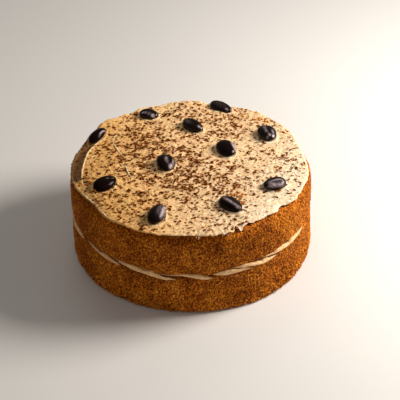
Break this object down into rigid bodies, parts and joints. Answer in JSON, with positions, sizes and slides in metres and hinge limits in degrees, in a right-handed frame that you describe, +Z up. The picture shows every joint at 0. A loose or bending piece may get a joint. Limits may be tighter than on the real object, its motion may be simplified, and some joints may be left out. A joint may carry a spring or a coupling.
{
  "type": "coffee layer cake",
  "caption": "Round coffee layer cake: sponge layers with a buttercream filling, and a spread buttercream top with chocolate shavings and chocolate coffee beans.",
  "frame": {"origin": "centre of the cake's flat underside", "axes": "+Z up along the cake's axis; the side that the picture shows faces -Y"},
  "size_m": [0.2019, 0.2003, 0.0865],
  "materials": {
    "sponge": "browned coffee sponge, soft and finely porous, matt",
    "filling": "coffee buttercream, soft satin",
    "icing": "coffee buttercream spread with a knife, soft satin, with dark chocolate shavings",
    "bean": "dark chocolate, glossy"
  },
  "bodies": {
    "root": {"sponge_bottom": "sponge", "filling": "filling", "sponge_top": "sponge", "icing_top": "icing", "bean_01": "bean", "bean_02": "bean", "bean_03": "bean", "bean_04": "bean", "bean_05": "bean", "bean_06": "bean", "bean_07": "bean", "bean_08": "bean", "bean_09": "bean", "bean_10": "bean", "bean_11": "bean"}
  },
  "joints": []
}
